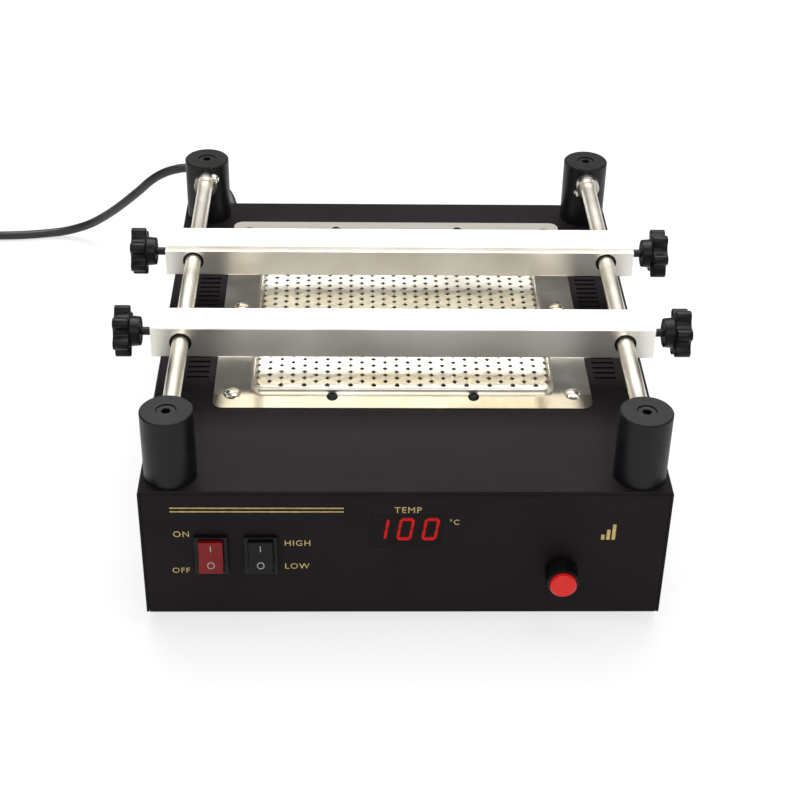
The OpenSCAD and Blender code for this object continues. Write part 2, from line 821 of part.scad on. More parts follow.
module emitter_bracket() {
    half = bracket_w / 2;
    section = [[half, tray_z + sheet], [half, bracket_z], [-half, bracket_z], [-half, tray_z + sheet]];
    color(stainless) difference() {
        along_y(heat_y - bracket_d / 2, heat_y + bracket_d / 2)
            polygon(bent_sheet(section, bracket_t, bracket_bend));
        stem_places(bracket_z - bracket_t) stem_slot(bracket_t);
    }
}

module emitter_clips() {
    color(stainless) stem_places(bracket_z - bracket_t - clip_t) difference() {
        translate([-stem_w / 2 - clip_margin, -stem_l / 2 - clip_margin, 0])
            cube([stem_w + 2 * clip_margin, stem_l + 2 * clip_margin, clip_t]);
        stem_slot(clip_t);
    }
}

module insulation_board() {
    wire_hole = 12;
    color("#d9d2c2") difference() {
        translate([0, heat_y, tray_z - insulation_t]) slab(tray_w, tray_d, insulation_t, guard_r);
        for (x = [-1, 1]) translate([x * emitter_pitch / 2, heat_y, tray_z - insulation_t - past])
            cylinder(d = wire_hole, h = insulation_t + 2 * past);
    }
}

module thermocouple() {
    wall_y = heat_y + tray_d / 2;
    color(chrome) translate([0, 0, z_under - probe_drop]) {
        rod_y(probe_d, wall_y - probe_l, wall_y + probe_tail);
        translate([0, wall_y, 0]) rotate([-90, 0, 0])
            cylinder(d = probe_nut / cos(30), h = probe_nut_h, $fn = 6);
    }
}

module control_board() {
    color(board_green) difference() {
        translate([control_x - control_w / 2, control_y - control_d / 2, control_z])
            cube([control_w, control_d, board_t]);
        control_corners(control_z - past) cylinder(d = screw_hole_d, h = board_t + 2 * past);
    }
}

module control_corners(z) {
    translate([control_x, control_y, z])
        corners(control_w / 2 - control_inset, control_d / 2 - control_inset) children();
}

// A laminated core with its winding round the middle limb
module power_transformer() {
    x = control_x - control_w / 4;
    z = control_z + board_t;
    color("#6b5a3a") {
        translate([x - core_w / 2, control_y - core_d / 2 + coil_d_over, z])
            cube([core_w, core_d - 2 * coil_d_over, core_h]);
        translate([x - coil_d_w / 2, control_y - core_d / 2, z])
            cube([coil_d_w, core_d, core_h - coil_d_over]);
    }
}

module heat_sink() {
    x = control_x + control_w / 4;
    z = control_z + board_t;
    base_w = (fin_count - 1) * fin_step + fin_t;
    color("#2b2b2e") translate([x - base_w / 2, control_y - fin_l / 2, z]) union() {
        cube([base_w, fin_l, fin_base]);
        for (i = [0 : fin_count - 1]) translate([i * fin_step, 0, 0]) cube([fin_t, fin_l, fin_h]);
    }
}

module terminal_block() {
    x = gland_x + foot_d;
    y = y_rear - sheet - bend_r - terminal_d;
    z = z_floor + sheet;
    well_d = 5;
    well_h = 5;
    ways = 3;
    color("#e6e3da") difference() {
        translate([x, y, z]) cube([terminal_w, terminal_d, terminal_h]);
        for (i = [0 : ways - 1])
            translate([x + (i + 0.5) * terminal_w / ways, y + terminal_d / 2, z + terminal_h - well_h])
                cylinder(d = well_d, h = well_h + past);
    }
}

module display_window() {
    w = display_w - loose_gap;
    h = display_h - loose_gap;
    y = y_front + sheet;
    color([0.35, 0.02, 0.03, 0.7]) translate([0, 0, z_floor + display_z]) {
        block([-w / 2, y_front, -h / 2], [w / 2, y, h / 2]);
        block([-w / 2 - window_lip, y, -h / 2 - window_lip],
              [w / 2 + window_lip, y + window_lip_t, h / 2 + window_lip]);
    }
}

module display_module() {
    y = y_front + sheet + window_lip_t;
    color("#101012") translate([0, 0, z_floor + display_z])
        block([-display_w / 2 + loose_gap, y, -display_h / 2 + loose_gap],
              [display_w / 2 - loose_gap, y + module_t, display_h / 2 - loose_gap]);
}

module display_board() {
    y = y_front + sheet + window_lip_t + module_t;
    color(board_green) difference() {
        translate([0, 0, z_floor + display_z])
            block([-display_board_w / 2, y, -display_board_h / 2],
                  [display_board_w / 2, y + board_t, display_board_h / 2]);
        display_corners() rod_y(screw_hole_d, y - past, y + board_t + past);
    }
}

module display_corners() {
    for (sx = [-1, 1]) for (sz = [-1, 1])
        translate([sx * (display_board_w / 2 - display_post_inset), 0,
                   z_floor + display_z + sz * (display_board_h / 2 - display_post_inset)])
            children();
}

// Pillars under the control board and between the panel and the display board
module board_standoffs() {
    y0 = y_front + sheet;
    y1 = y0 + window_lip_t + module_t;
    neck = 2;
    color(chrome) {
        control_corners(z_floor + sheet) {
            cylinder(d = standoff_d, h = standoff_h);
            cylinder(d = screw_d, h = standoff_h + board_t + neck);
        }
        display_corners() {
            rod_y(display_post_d, y0, y1);
            rod_y(screw_d, y1 - past, y1 + board_t + neck);
        }
    }
}

// Switch housing: a bezel outside the panel, a body behind it and three solder tabs
module switch_body(x) {
    color(plastic_black) translate([x, y_front, z_floor + switch_z]) difference() {
        union() {
            block([-switch_bezel_w / 2, -switch_bezel_t, -switch_bezel_h / 2],
                  [switch_bezel_w / 2, 0, switch_bezel_h / 2]);
            block([-switch_body_w / 2, -switch_bezel_t + switch_face, -switch_body_h / 2],
                  [switch_body_w / 2, switch_body_l, switch_body_h / 2]);
            for (i = [-1 : 1])
                block([-tab_w / 2, switch_body_l - past, i * tab_step - tab_t / 2],
                      [tab_w / 2, switch_body_l + tab_l, i * tab_step + tab_t / 2]);
        }
        block([-switch_open_w / 2, -switch_bezel_t - past, -switch_open_h / 2],
              [switch_open_w / 2, 0, switch_open_h / 2]);
        block([-rocker_stem_w / 2 - loose_gap, -switch_bezel_t, -switch_body_h / 2 + switch_wall],
              [rocker_stem_w / 2 + loose_gap, switch_pocket, switch_body_h / 2 - switch_wall]);
        translate([0, switch_pivot, 0])
            rod_x(pivot_pin_d + 2 * pivot_gap, -switch_body_w / 2 - past, switch_body_w / 2 + past);
    }
}

module power_switch_body() switch_body(power_x);
module level_switch_body() switch_body(level_x);

// A rocker with two flat faces, tilted so that its upper half is pressed in
module rocker(x, shade) {
    face = rocker_rise + rocker_half * tan(rocker_tilt);
    back = switch_bezel_t - rocker_sink;
    section = [
        [0, -rocker_half], [-face, -rocker_half], [-rocker_rise, 0], [-face, rocker_half], [0, rocker_half]
    ];
    color(shade) translate([x, y_front + switch_pivot, z_floor + switch_z]) rotate([-rocker_tilt, 0, 0])
        translate([0, -switch_pivot, 0]) union() {
            along_x(-rocker_w / 2, rocker_w / 2)
                translate([-back, 0]) polygon(section);
            block([-rocker_stem_w / 2, -back - past, -rocker_stem_half],
                  [rocker_stem_w / 2, rocker_stem_back, rocker_stem_half]);
            translate([0, switch_pivot, 0])
                rod_x(pivot_pin_d, -switch_body_w / 2, switch_body_w / 2);
        }
}

module power_rocker() rocker(power_x, signal_red);
module level_rocker() rocker(level_x, plastic_black);

// Places the temperature control, with y = 0 on the panel's front face
module at_dial() translate([dial_x, y_front, z_floor + dial_z]) children();

module temp_control() {
    color("#8d8f92") at_dial() difference() {
        union() {
            rod_y(pot_d, sheet, sheet + pot_l);
            rod_y(pot_neck_d, -pot_neck_out, sheet + past);
        }
        rod_y(shaft_d + 2 * run_gap, -pot_neck_out - past, sheet + pot_l - past);
    }
}

module temp_shaft() {
    color(chrome) at_dial() rod_y(shaft_d, -dial_gap - shaft_seat, sheet + pot_l - past - touch_gap);
}

module temp_knob() {
    color(plastic_black) at_dial() difference() {
        rod_y(dial_d, -dial_gap - dial_l, -dial_gap);
        for (i = [0 : dial_flutes - 1])
            rotate([0, i * 360 / dial_flutes, 0]) translate([dial_d / 2 + dial_flute_d / 4, 0, 0])
                rod_y(dial_flute_d, -dial_gap - dial_l - past, -dial_gap - 2);
        rod_y(shaft_d + 2 * run_gap, -dial_gap - shaft_seat - touch_gap, -dial_gap + past);
        rod_y(cap_d + 2 * run_gap, -dial_gap - dial_l - past, -dial_gap - dial_l + cap_seat);
    }
}

module temp_knob_cap() {
    crown = 0.8;
    color(signal_red) at_dial() translate([0, -dial_gap - dial_l + cap_seat, 0]) rotate([90, 0, 0])
        rotate_extrude() polygon([
            [0, 0], [cap_d / 2, 0], [cap_d / 2, cap_seat + cap_proud - crown],
            [cap_d / 2 - crown, cap_seat + cap_proud], [0, cap_seat + cap_proud]
        ]);
}

// Section of a bar, with the board ledge on the side given by face
function bar_section(face) =
    let (y = bar_depth / 2, z = bar_h / 2, c = bar_edge)
    [for (p = [
        [-y + c, -z], [y - c, -z], [y, -z + c], [y, z - ledge_drop], [y - ledge_w, z - ledge_drop],
        [y - ledge_w, z - c], [y - ledge_w - c, z], [-y + c, z], [-y, z - c], [-y, -z + c]
    ]) [face * p[0], p[1]]];

module bar(y, face) {
    color(aluminium) translate([0, y, rod_z]) difference() {
        along_x(-bar_l / 2, bar_l / 2) polygon(bar_section(face));
        both_sides() translate([post_x, 0, 0])
            rod_y(2 * liner_or + 2 * run_gap, -bar_depth / 2 - past, bar_depth / 2 + past);
        both_sides() rod_x(stud_d + 2 * run_gap, post_x, bar_l / 2 + past);
    }
}

module front_bar() bar(front_y, 1);
module rear_bar() bar(rear_y, -1);

module bar_liners(y) {
    color(plastic_black) translate([0, y, rod_z]) both_sides() difference() {
        translate([post_x, 0, 0]) rod_y(2 * liner_or, -bar_depth / 2, bar_depth / 2);
        translate([post_x, 0, 0]) rod_y(rod_d + 2 * run_gap, -bar_depth / 2 - past, bar_depth / 2 + past);
        rod_x(stud_d + 2 * run_gap, post_x, bar_l / 2);
    }
}

module front_bar_liners() bar_liners(front_y);
module rear_bar_liners() bar_liners(rear_y);

// Places a clamp at one end of a bar: its child points along +X
module at_clamp(side, y) translate([0, y, rod_z]) mirror([side < 0 ? 1 : 0, 0, 0]) children();

module stud(side, y) {
    color(chrome) at_clamp(side, y) translate([stud_tip_x, 0, 0]) rotate([0, 90, 0]) rotate_extrude()
        polygon([
            [0, 0], [stud_tip_d / 2, 0], [stud_d / 2, stud_tip_h],
            [stud_d / 2, hub_x + stud_grip - stud_tip_x], [0, hub_x + stud_grip - stud_tip_x]
        ]);
}

module stud_front_left() stud(-1, front_y);
module stud_front_right() stud(1, front_y);
module stud_rear_left() stud(-1, rear_y);
module stud_rear_right() stud(1, rear_y);

module star_knob(side, y, turn) {
    color(plastic_black) at_clamp(side, y) translate([hub_x, 0, 0]) rotate([turn, 0, 0]) difference() {
        union() {
            rotate([0, 90, 0]) cylinder(d1 = hub_d, d2 = hub_d + hub_flare, h = hub_l + star_t / 2);
            along_x(hub_l, hub_l + star_t) polygon(star(knob_d / 2, star_valley * knob_d / 2, lobes));
        }
        rod_x(stud_d + 2 * run_gap, -past, stud_grip + touch_gap);
        rod_x(knob_recess_d, hub_l + star_t - knob_recess_h, hub_l + star_t + past);
    }
}

module knob_front_left() star_knob(-1, front_y, knob_turn_fl);
module knob_front_right() star_knob(1, front_y, knob_turn_fr);
module knob_rear_left() star_knob(-1, rear_y, knob_turn_rl);
module knob_rear_right() star_knob(1, rear_y, knob_turn_rr);

// Strain relief: a flange outside the back wall, a lip inside it and a ribbed, tapered sleeve
module cord_gland() {
    start = gland_flange_t + gland_plain;
    step = (gland_l - start - gland_plain) / gland_grooves;
    color(rubber_black) translate([gland_x, y_rear, z_floor + gland_z]) rotate([-90, 0, 0]) rotate_extrude()
        polygon(concat(
            [[0, -sheet - gland_lip_t], [gland_lip_d / 2 - 1, -sheet - gland_lip_t],
             [gland_lip_d / 2, -sheet], [gland_hole_d / 2 - touch_gap, -sheet],
             [gland_hole_d / 2 - touch_gap, 0], [gland_flange_d / 2, 0],
             [gland_flange_d / 2, gland_flange_t - gland_edge],
             [gland_flange_d / 2 - gland_edge, gland_flange_t]],
            flat([for (i = [0 : gland_grooves - 1])
                let (z = start + i * step, share = (z - gland_flange_t) / (gland_l - gland_flange_t),
                     r = (gland_root_d + (gland_tip_d - gland_root_d) * share) / 2)
                [[r, z - step * 0.3], [r, z + step * 0.3], [r - gland_groove, z + step * 0.35],
                 [r - gland_groove, z + step * 0.65]]]),
            [[gland_tip_d / 2, gland_l], [0, gland_l]]));
}

module cord_lead() {
    start = [gland_x, cord_y0, cord_z0];
    color(rubber_black) tube(concat([start], cord_route), cord_d, cord_sides);
}

module cord_tail() {
    color(rubber_black) tube(tail_route, cord_d, cord_sides);
}

module cord_coil() {
    r0 = coil_r - coil_band_w / 2;
    r1 = coil_r + coil_band_w / 2;
    c = coil_edge;
    color(rubber_black) translate(coil_at) rotate_extrude() polygon([
        [r0 + c, 0], [r1 - c, 0], [r1, c], [r1, coil_band_h - c], [r1 - c, coil_band_h],
        [r0 + c, coil_band_h], [r0, coil_band_h - c], [r0, c]
    ]);
}

// A moulded plug lying on the floor: its neck points back to the coil
module mains_plug() {
    color(rubber_black) translate(plug_at) difference() {
        union() {
            translate([0, -plug_l / 2, 0]) slab(plug_w, plug_l, plug_h, plug_r);
            translate([0, 0, plug_h / 2]) rod_y(plug_neck_d, -past, plug_neck_l);
        }
        plug_pin_places(run_gap);
    }
}

// Two flat blades and a round earth pin, grown by a clearance
module plug_pin_places(grow) {
    half_t = blade_t / 2 + grow;
    half_w = blade_w / 2 + grow;
    for (side = [-1, 1]) translate([side * blade_step / 2, 0, blade_low])
        block([-half_t, -plug_l - blade_l, -half_w], [half_t, -plug_l + blade_root + grow, half_w]);
    translate([0, 0, earth_high])
        rod_y(earth_d + 2 * grow, -plug_l - earth_l, -plug_l + blade_root + grow);
}

module plug_pins() {
    color("#b9a26a") translate(plug_at) plug_pin_places(0);
}

chassis();
cover();
rubber_feet();
foot_screws();
cover_screws();
post_front_left();
post_front_right();
post_rear_left();
post_rear_right();
post_screws();
post_nuts();
guide_rod_left();
guide_rod_right();
rod_collars();
collar_screws();
top_plate();
plate_screws();
plate_rivets();
mesh_guard();
reflector_tray();
emitter_left();
emitter_right();
emitter_bracket();
emitter_clips();
insulation_board();
thermocouple();
control_board();
power_transformer();
heat_sink();
terminal_block();
display_window();
display_module();
display_board();
board_standoffs();
power_switch_body();
power_rocker();
level_switch_body();
level_rocker();
temp_control();
temp_shaft();
temp_knob();
temp_knob_cap();
front_bar();
front_bar_liners();
rear_bar();
rear_bar_liners();
stud_front_left();
stud_front_right();
stud_rear_left();
stud_rear_right();
knob_front_left();
knob_front_right();
knob_rear_left();
knob_rear_right();
cord_gland();
cord_lead();
cord_coil();
cord_tail();
mains_plug();
plug_pins();
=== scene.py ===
# %% [markdown]
# # A bench preheater for circuit boards
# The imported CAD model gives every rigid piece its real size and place. This lesson photographs it:
# it sets the camera, lays the mains lead, softens the edges that moulds and presses leave soft,
# prints the panel and gives each piece the finish of its real material.

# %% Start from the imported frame
import json
import math

import bpy
from mathutils import Matrix, Vector


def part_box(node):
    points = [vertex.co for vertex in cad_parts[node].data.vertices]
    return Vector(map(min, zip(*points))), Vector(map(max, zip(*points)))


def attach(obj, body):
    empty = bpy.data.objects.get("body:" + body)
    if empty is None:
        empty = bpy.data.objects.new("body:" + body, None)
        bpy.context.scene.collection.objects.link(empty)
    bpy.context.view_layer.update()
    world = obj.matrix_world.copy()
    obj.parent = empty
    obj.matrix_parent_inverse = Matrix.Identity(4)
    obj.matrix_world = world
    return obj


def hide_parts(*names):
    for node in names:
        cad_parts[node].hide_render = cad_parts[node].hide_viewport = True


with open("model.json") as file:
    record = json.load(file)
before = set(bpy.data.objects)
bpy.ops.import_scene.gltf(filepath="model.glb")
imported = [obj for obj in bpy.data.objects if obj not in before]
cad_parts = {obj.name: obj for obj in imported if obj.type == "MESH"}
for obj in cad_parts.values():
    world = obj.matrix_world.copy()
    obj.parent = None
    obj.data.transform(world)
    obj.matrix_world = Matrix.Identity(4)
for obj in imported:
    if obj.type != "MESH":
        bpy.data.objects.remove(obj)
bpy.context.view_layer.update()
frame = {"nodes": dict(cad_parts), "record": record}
nodes = frame["nodes"]
MM = 0.001
body_of_node = {n: b for b, names in frame["record"]["behaviour"]["bodies"].items() for n in names}

# %% [markdown]
# ## Camera
# The photographer stood a little left of the middle and looked down at the bench. The place, the turn
# and the lens were found by matching the box, the posts and the rods, so the render lines up with
# the photograph.

# %% Set the camera where the photographer stood
YAW, PITCH, ROLL = (math.radians(a) for a in (1.853, 34.459, 1.192))
CAMERA_AT = (-23.205, -729.509, 538.645)
SENSOR, LENS = 36, 76.41
flat = math.cos(PITCH)
ahead = Vector((math.sin(YAW) * flat, math.cos(YAW) * flat, -math.sin(PITCH)))
level = Vector((math.cos(YAW), -math.sin(YAW), 0))
upward = level.cross(ahead)
cam_right = math.cos(ROLL) * level + math.sin(ROLL) * upward
cam_up = math.cos(ROLL) * upward - math.sin(ROLL) * level
bpy.ops.object.select_all(action="DESELECT")
bpy.ops.object.camera_add()
camera = bpy.context.object
camera.name = "photo_camera"
camera.data.sensor_width = SENSOR
camera.data.lens = LENS
turn = Matrix((cam_right, cam_up, -ahead)).transposed().to_4x4()
camera.matrix_world = Matrix.Translation(Vector(CAMERA_AT) * MM) @ turn
bpy.context.scene.camera = camera
print("camera at", tuple(round(c, 3) for c in camera.location))

# %% [markdown]
# ## Mains lead
# A light two-core PVC lead leaves the strain relief, arcs to the left, comes down to the bench and
# runs out of the picture. A circle could be extruded along such a line by hand, but one Bezier curve
# with automatic handles gives the smooth, springy line by itself, and its length can be read off it.
# The length that the photograph doesn't show is wound into a round coil just past the left edge, in
# turns that lie on each other, and ends in its plug. Each point of the curve has the lead's own radius
# and the bevel is 1, so that the box which Blender draws round the curve is the lead's own.

# %% Lay the lead along its route
LEAD_D = 5.4
EXIT = (-95.5, 160.75, 59)
ROUTE = [
    (-95.5, 166.15, 59), (-97, 176.1, 60.6), (-101.2, 184.7, 63.4), (-107.7, 191.9, 66.6),
    (-115.5, 197.3, 69.2), (-124.4, 200.8, 70), (-133.5, 202.6, 67.9), (-142, 205, 63.4),
    (-149, 207.5, 57.5), (-156, 211.5, 49.5), (-163, 215.5, 41.8), (-170, 220.5, 34),
    (-177, 226, 26.4), (-184.5, 231.5, 19), (-193, 236.5, 12), (-202.5, 239.5, 7),
    (-212, 240.5, 4.1), (-222, 240, 3), (-236, 238, 2.8), (-250, 237, 2.8),
    (-264, 236.5, 2.8), (-278, 236.5, 2.8),
]
TAIL = [
    (-321, 196, 26.4), (-321, 187, 24.2), (-321, 178, 20.6), (-321, 169, 16.2), (-321, 160, 12.4),
    (-321, 151, 9.8), (-321, 144, 9), (-321, 138, 9),
]
COIL_AT, COIL_R, COIL_RISE, COIL_TURNS = (-290, 205.5), 31, 5.7, 4.25
STEPS, FLOOR_GAP = 16, 0.1


def coil_point(step):
    angle = math.radians(90 + 360 * step / STEPS)
    return (COIL_AT[0] + COIL_R * math.cos(angle), COIL_AT[1] + COIL_R * math.sin(angle),
            LEAD_D / 2 + FLOOR_GAP + COIL_RISE * step / STEPS)


coil = [coil_point(step) for step in range(int(COIL_TURNS * STEPS) + 1)]
path = [EXIT] + ROUTE + coil + TAIL
line = bpy.data.curves.new("mains_lead", "CURVE")
line.dimensions = "3D"
line.resolution_u = 6
line.bevel_depth = 1.0
line.bevel_resolution = 5
line.use_fill_caps = True
spline = line.splines.new("BEZIER")
spline.bezier_points.add(len(path) - 1)
for knot, place in zip(spline.bezier_points, path):
    knot.co = Vector(place) * MM
    knot.radius = LEAD_D / 2 * MM
    knot.handle_left_type = knot.handle_right_type = "AUTO"
lead = bpy.data.objects.new("mains_lead", line)
bpy.context.scene.collection.objects.link(lead)

# %% [markdown]
# A woven strap holds the coil. A second curve could go round the turns, but would be round like a wire.
# A box with its two ends open, round corners from a bevel and a wall from Solidify stays flat, as a
# woven band does, and hugs the stack of turns.

# %% Strap the coil
STRAP_WALL, STRAP_WIDTH, STRAP_ROUND = 0.7, 9, 1.8
STRAP_PLAY, STRAP_DROP, STRAP_LIFT = 1.2, 0.8, 0.4
ENDWARD, STRAP_FOLD = 0.9, 40
stack_high = LEAD_D + COIL_RISE * COIL_TURNS


def only(obj):
    bpy.ops.object.select_all(action="DESELECT")
    obj.select_set(True)
    bpy.context.view_layer.objects.active = obj


def seat(obj):
    only(obj)
    bpy.ops.object.transform_apply(location=True, rotation=True, scale=True)


def smooth(obj, fold):
    only(obj)
    bpy.ops.object.shade_smooth_by_angle(angle=math.radians(fold))


bpy.ops.object.select_all(action="DESELECT")
bpy.ops.mesh.primitive_cube_add(size=1, location=(0, 0, 0))
strap = bpy.context.object
strap.name = "coil_strap"
strap.scale = Vector((LEAD_D + STRAP_PLAY, STRAP_WIDTH, stack_high - STRAP_DROP)) * MM
seat(strap)
bpy.ops.object.mode_set(mode="EDIT")
bpy.ops.mesh.select_mode(type="FACE")
bpy.ops.mesh.select_all(action="DESELECT")
bpy.ops.object.mode_set(mode="OBJECT")
for face in strap.data.polygons:
    face.select = abs(face.normal.y) > ENDWARD
bpy.ops.object.mode_set(mode="EDIT")
bpy.ops.mesh.delete(type="FACE")
bpy.ops.mesh.select_all(action="SELECT")
bpy.ops.mesh.bevel(offset=STRAP_ROUND * MM, segments=4, affect="EDGES")
bpy.ops.object.mode_set(mode="OBJECT")
wall = strap.modifiers.new("wall", "SOLIDIFY")
wall.thickness = STRAP_WALL * MM
wall.offset = 1
bpy.ops.object.modifier_apply(modifier="wall")
strap.location = Vector((COIL_AT[0] + COIL_R, COIL_AT[1], stack_high / 2 + STRAP_LIFT)) * MM
seat(strap)
smooth(strap, STRAP_FOLD)
print("strap", len(strap.data.polygons), "faces")

# %% [markdown]
# When the box is carried, the lead goes with it, so the lead and its strap ride on the base. The curve
# stands for the three plain solids that the CAD model has for the lead, its coil and its end.

# %% Let the lead ride on the base
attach(lead, "base")
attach(strap, "base")
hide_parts("cord_lead", "cord_coil", "cord_tail")
print("lead rides on the base")

# %% [markdown]
# ## Floor and light
# A product photograph of this kind is taken on white paper under large soft boxes. The floor is a plain
# white sheet that keeps a soft shadow. To the camera it is mixed with plain white, so that it reads
# as bare paper without more light on the object. A curved backdrop would do the same, but a plain plane
# is enough where the camera looks down. Two small helpers serve this and every later material: one turns
# a written colour into Blender's linear values, and one adds a node with its settings and links.

# %% Lay the white floor
FLOOR_SIZE, WHITE_SHARE = 8, 0.72


def linear(code):
    def channel(v):
        return v / 12.92 if v <= 0.04045 else ((v + 0.055) / 1.055) ** 2.4
    return tuple(channel(int(code[i:i + 2], 16) / 255) for i in (1, 3, 5)) + (1,)


def add(tree, kind, settings=None, links=None):
    part = tree.nodes.new(kind)
    for key, value in (settings or {}).items():
        if isinstance(key, int) or key in part.inputs:
            part.inputs[key].default_value = value
        else:
            setattr(part, key, value)
    for key, socket in (links or {}).items():
        tree.links.new(socket, part.inputs[key])
    return part


bpy.ops.object.select_all(action="DESELECT")
bpy.ops.mesh.primitive_plane_add(size=FLOOR_SIZE, location=(0, 0, 0))
floor = bpy.context.object
floor.name = "white_floor"
paper = bpy.data.materials.new("white_paper")
paper.use_nodes = True
tree = paper.node_tree
tree.nodes.clear()
rays = add(tree, "ShaderNodeLightPath")
seen = rays.outputs["Is Camera Ray"]
for kind in ("Is Glossy Ray", "Is Transmission Ray"):
    larger = add(tree, "ShaderNodeMath", {"operation": "MAXIMUM"}, {0: seen, 1: rays.outputs[kind]})
    seen = larger.outputs[0]
share = add(tree, "ShaderNodeMath", {"operation": "MULTIPLY", 1: WHITE_SHARE}, {0: seen})
matt = add(tree, "ShaderNodeBsdfDiffuse", {"Color": linear("#f4f4f4")})
plain = add(tree, "ShaderNodeEmission", {"Color": linear("#ffffff"), "Strength": 1.0})
both = add(tree, "ShaderNodeMixShader", {},
           {0: share.outputs[0], 1: matt.outputs[0], 2: plain.outputs[0]})
add(tree, "ShaderNodeOutputMaterial", {}, {"Surface": both.outputs[0]})
floor.data.materials.append(paper)
print("floor of", FLOOR_SIZE, "m")

# %% [markdown]
# The lamps are area lights, the soft boxes of a studio: the wider a lamp, the softer its shadow. A sun or
# a spot would give hard edges. Metal shows what it faces, so the low card at the back is what the plate's
# far strip mirrors, and the big boxes above are what the bars' tops mirror.

# %% Hang the soft boxes
WORLD_LIGHT = 0.15


def soft_box(name, place, aim, size, power):
    bpy.ops.object.light_add(type="AREA", location=place)
    lamp = bpy.context.object
    lamp.name = name
    lamp.data.shape = "RECTANGLE"
    lamp.data.size, lamp.data.size_y = size
    lamp.data.energy = power
    lamp.rotation_euler = (Vector(aim) - Vector(place)).to_track_quat("-Z", "Y").to_euler()


# Where each lamp stands, what it aims at, its sides in metres and its power in watts
LAMPS = {
    "over_box": ((0.1, 0.25, 1.5), (0, 0.05, 0), (1.6, 1.0), 20),
    "back_box": ((0, 0.95, 1.45), (0, 0, 0.1), (2.2, 0.6), 22),
    "back_card": ((0, 1.7, 0.86), (0, 0, 0.1), (2.6, 0.22), 1.3),
    "front_box": ((0, -1.25, 0.95), (0, 0, 0.1), (1.3, 0.5), 7.5),
    "left_box": ((-1.3, -0.9, 0.9), (0, 0, 0.05), (0.9, 1.1), 5.5),
    "right_box": ((1.4, -0.7, 0.8), (0, 0, 0.05), (0.8, 1.0), 3.5),
}
bpy.ops.object.select_all(action="DESELECT")
for name, lamp in LAMPS.items():
    soft_box(name, *lamp)
world = bpy.context.scene.world or bpy.data.worlds.new("studio")
bpy.context.scene.world = world
world.use_nodes = True
sky = world.node_tree.nodes["Background"]
sky.inputs["Color"].default_value = linear("#ffffff")
sky.inputs["Strength"].default_value = WORLD_LIGHT
bpy.context.scene.view_settings.view_transform = "Standard"
print(len(LAMPS), "lamps")

# %% [markdown]
# ## Finishes
# Each material starts from what the real one is: two near tones of its colour, two values of its roughness
# and the size of the patches in which they change, plus the fine marks its making leaves. All sizes
# are in millimetres of the real object, on Object coordinates. Painted pictures could give more, but one
# helper that mixes noise keeps every finish editable and sharp at any distance.

# %% A shader with tone, wear and making marks
PATCH_LOW, PATCH_HIGH, BUMP_SHARE = 0.32, 0.68, 0.4


def finish(name, tones, rough, patch, metallic=0.0, marks=None, depth=0.0, brushed=None, **other):
    mat = bpy.data.materials.new(name)
    mat.use_nodes = True
    nt = mat.node_tree
    shader = nt.nodes["Principled BSDF"]
    shader.inputs["Metallic"].default_value = metallic
    for key, value in other.items():
        shader.inputs[key.replace("_", " ")].default_value = value
    place = add(nt, "ShaderNodeTexCoord").outputs["Object"]
    blotch = add(nt, "ShaderNodeTexNoise", {"Scale": 1 / (patch * MM), "Detail": 3.0}, {"Vector": place})
    share = add(nt, "ShaderNodeMapRange", {"From Min": PATCH_LOW, "From Max": PATCH_HIGH},
                {"Value": blotch.outputs["Fac"]})
    tone = add(nt, "ShaderNodeMix", {"data_type": "RGBA", 6: linear(tones[0]), 7: linear(tones[1])},
               {0: share.outputs[0]})
    wear = add(nt, "ShaderNodeMapRange", {"To Min": rough[0], "To Max": rough[1]},
               {"Value": share.outputs[0]})
    nt.links.new(tone.outputs[2], shader.inputs["Base Color"])
    nt.links.new(wear.outputs[0], shader.inputs["Roughness"])
    if marks:
        waves = tuple(1 / (size * MM) for size in marks)
        stretch = add(nt, "ShaderNodeMapping", {"Scale": waves}, {"Vector": place})
        noise = add(nt, "ShaderNodeTexNoise", {"Scale": 1.0, "Detail": 2.0},
                    {"Vector": stretch.outputs[0]})
        bump = add(nt, "ShaderNodeBump", {"Strength": BUMP_SHARE, "Distance": depth * MM},
                   {"Height": noise.outputs["Fac"]})
        nt.links.new(bump.outputs[0], shader.inputs["Normal"])
    if brushed:
        lines = add(nt, "ShaderNodeCombineXYZ", dict(zip("XYZ", brushed)))
        nt.links.new(lines.outputs[0], shader.inputs["Tangent"])
    return mat


# Powder coat: fine orange peel 1 mm across, near black, a dull sheen that handling polishes in patches
powder = finish("black_powder_coat", ("#161215", "#1d181b"), (0.42, 0.56), 30,
                marks=(1, 1, 1), depth=0.1, Specular_IOR_Level=0.07)
print("first finish:", powder.name)

# %% [markdown]
# The metals differ by how they were worked more than by colour: chrome and rolled sheet are nearly mirrors,
# the rods keep rings of the grinding wheel, the stretched mesh is matt and the bars are brushed. A picture
# of each could be wrapped on, but noise stretched along the working direction has no seams and stays
# true to size on every piece. The real lines are finer than a pixel, so they are drawn as coarse as they
# need to show, and on the bars the shader's anisotropy adds the rest.

# %% Metals
# Hard chrome: bright, with a faint warm tint and wiped patches
chrome = finish("hard_chrome", ("#e2ded5", "#f0ece4"), (0.14, 0.22), 25, 1.0)
# Ground rod: satin from the grinding wheel, with rings 0.9 mm apart
ground = finish("ground_steel_rod", ("#e6dfcf", "#f6f1e6"), (0.3, 0.4), 25, 1.0,
                marks=(30, 0.9, 30), depth=0.01)
# Zinc plate: duller than chrome and a little cloudy
zinc = finish("zinc_plated_steel", ("#a9a8a2", "#c9c8c2"), (0.24, 0.38), 4, 1.0)
# Black oxide: dark steel, low sheen
oxide = finish("black_oxide_steel", ("#161618", "#232326"), (0.34, 0.46), 4, 0.6)
